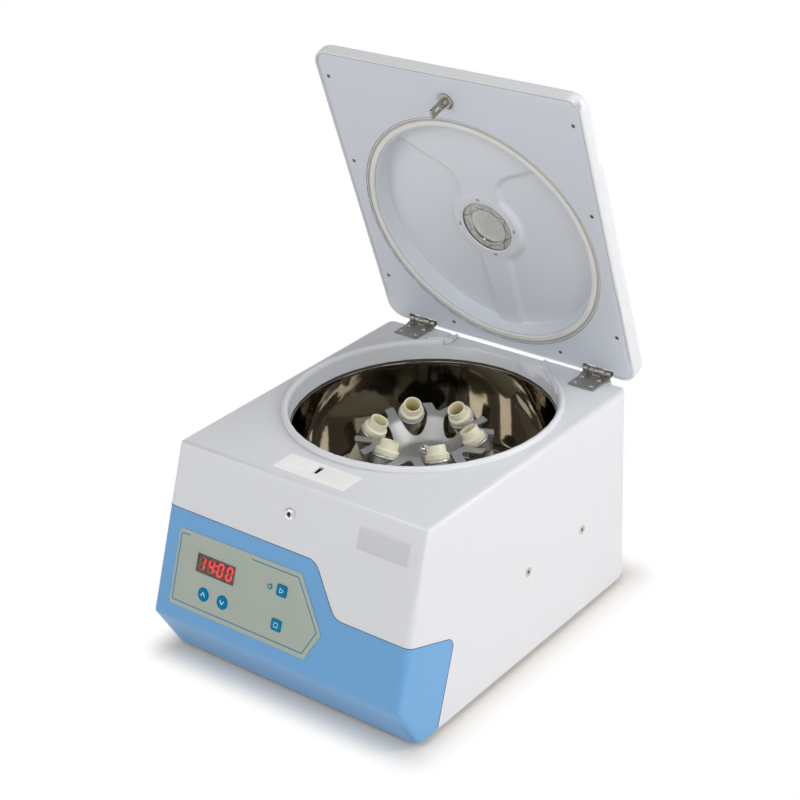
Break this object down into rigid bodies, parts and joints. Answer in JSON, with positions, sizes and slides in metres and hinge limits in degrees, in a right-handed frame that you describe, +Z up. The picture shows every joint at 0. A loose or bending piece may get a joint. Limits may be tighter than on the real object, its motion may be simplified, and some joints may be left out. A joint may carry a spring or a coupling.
{
  "type": "benchtop centrifuge",
  "caption": "Bench laboratory centrifuge with a hinged lid open over a steel bowl, a swing-out tube rotor and a sloping control panel",
  "frame": {"origin": "on the ground, under the centre of the bounding box", "axes": "+Z up, the control panel faces -Y, +X is to the right of a person who faces the panel"},
  "size_m": [0.3344, 0.4451, 0.5927],
  "materials": {
    "white_case": "satin",
    "blue_skirt": "satin",
    "overlay_film": "matt",
    "display_red": "gloss",
    "dark_plastic": "matt",
    "teal_button": "satin",
    "board_green": "matt",
    "rubber_black": "matt",
    "steel": "satin",
    "bowl_steel": "mirror",
    "aluminium": "satin",
    "cream_tube": "satin",
    "gasket_light": "satin",
    "clear_window": "polished"
  },
  "bodies": {
    "housing": {"top_cover": "white_case", "front_skirt": "blue_skirt", "control_overlay": "overlay_film", "display_window": "display_red", "display_module": "dark_plastic", "control_board": "board_green", "status_led": "display_red", "release_grommet": "steel", "base_plate": "steel", "foot_1": "rubber_black", "foot_2": "rubber_black", "foot_3": "rubber_black", "foot_4": "rubber_black", "chassis_plate": "steel", "bowl": "bowl_steel", "bowl_gasket": "rubber_black", "motor": "steel", "motor_mount_1": "rubber_black", "motor_mount_2": "rubber_black", "motor_mount_3": "rubber_black", "motor_boot": "rubber_black", "power_board": "board_green", "power_inlet": "dark_plastic", "lock_solenoid": "steel", "deck_leaf_left": "steel", "deck_leaf_right": "steel", "hinge_pin_left": "steel", "hinge_pin_right": "steel", "hinge_spring_left": "steel", "hinge_spring_right": "steel"},
    "lid": {"lid_shell": "white_case", "lid_panel": "white_case", "lid_liner": "white_case", "lid_gasket": "gasket_light", "view_window": "clear_window", "window_bezel": "white_case", "latch_strike": "steel", "lid_leaf_left": "steel", "lid_leaf_right": "steel"},
    "rotor": {"drive_shaft": "steel", "rotor_disc": "aluminium", "rotor_nut": "bowl_steel"},
    "up_button": {"button_up": "teal_button"},
    "down_button": {"button_down": "teal_button"},
    "start_button": {"button_start": "teal_button"},
    "stop_button": {"button_stop": "teal_button"},
    "bolt": {"lock_bolt": "steel"},
    "rocker": {"power_switch": "dark_plastic"},
    "carrier_1": {"tube_ring_1": "aluminium", "tube_shield_1": "cream_tube"},
    "carrier_2": {"tube_ring_2": "aluminium", "tube_shield_2": "cream_tube"},
    "carrier_3": {"tube_ring_3": "aluminium", "tube_shield_3": "cream_tube"},
    "carrier_4": {"tube_ring_4": "aluminium", "tube_shield_4": "cream_tube"},
    "carrier_5": {"tube_ring_5": "aluminium", "tube_shield_5": "cream_tube"},
    "carrier_6": {"tube_ring_6": "aluminium", "tube_shield_6": "cream_tube"}
  },
  "joints": [
    {"name": "lid_hinge", "type": "hinge", "parent": "housing", "child": "lid", "pos_m": [0, 0.20127, 0.244], "axis": [1, 0, 0], "range_deg": [0, 72.2], "stiffness_Nm_per_rad": 1.1, "springref_deg": -51.57},
    {"name": "rotor_spin", "type": "hinge", "parent": "housing", "child": "rotor", "pos_m": [0, 0.04427, 0.158], "axis": [0, 0, 1], "continuous": true},
    {"name": "tube_swing_1", "type": "hinge", "parent": "rotor", "child": "carrier_1", "pos_m": [0.05581, 0.0667, 0.1928], "axis": [0.373, -0.9278, 0], "range_deg": [0, 61]},
    {"name": "tube_swing_2", "type": "hinge", "parent": "rotor", "child": "carrier_2", "pos_m": [0.00847, 0.10382, 0.1928], "axis": [0.99, -0.1409, 0], "range_deg": [0, 61]},
    {"name": "tube_swing_3", "type": "hinge", "parent": "rotor", "child": "carrier_3", "pos_m": [-0.04733, 0.08138, 0.1928], "axis": [0.617, 0.7869, 0], "range_deg": [0, 61]},
    {"name": "tube_swing_4", "type": "hinge", "parent": "rotor", "child": "carrier_4", "pos_m": [-0.05581, 0.02183, 0.1928], "axis": [-0.373, 0.9278, 0], "range_deg": [0, 61]},
    {"name": "tube_swing_5", "type": "hinge", "parent": "rotor", "child": "carrier_5", "pos_m": [-0.00847, -0.01528, 0.1928], "axis": [-0.99, 0.1409, 0], "range_deg": [0, 61]},
    {"name": "tube_swing_6", "type": "hinge", "parent": "rotor", "child": "carrier_6", "pos_m": [0.04733, 0.00715, 0.1928], "axis": [-0.617, -0.7869, 0], "range_deg": [0, 61]},
    {"name": "up_press", "type": "slide", "parent": "housing", "child": "up_button", "axis": [0, 0.9388, -0.3443], "range_m": [0, 0.0008], "stiffness_N_per_m": 500, "springref_m": -0.0006},
    {"name": "down_press", "type": "slide", "parent": "housing", "child": "down_button", "axis": [0, 0.9388, -0.3443], "range_m": [0, 0.0008], "stiffness_N_per_m": 500, "springref_m": -0.0006},
    {"name": "start_press", "type": "slide", "parent": "housing", "child": "start_button", "axis": [0, 0.9388, -0.3443], "range_m": [0, 0.0008], "stiffness_N_per_m": 500, "springref_m": -0.0006},
    {"name": "stop_press", "type": "slide", "parent": "housing", "child": "stop_button", "axis": [0, 0.9388, -0.3443], "range_m": [0, 0.0008], "stiffness_N_per_m": 500, "springref_m": -0.0006},
    {"name": "bolt_slide", "type": "slide", "parent": "housing", "child": "bolt", "axis": [-1, 0, 0], "range_m": [0, 0.007], "stiffness_N_per_m": 60, "springref_m": -0.003},
    {"name": "rocker_tilt", "type": "hinge", "parent": "housing", "child": "rocker", "pos_m": [-0.112, 0.19697, 0.07], "axis": [1, 0, 0], "range_deg": [0, 18]}
  ]
}
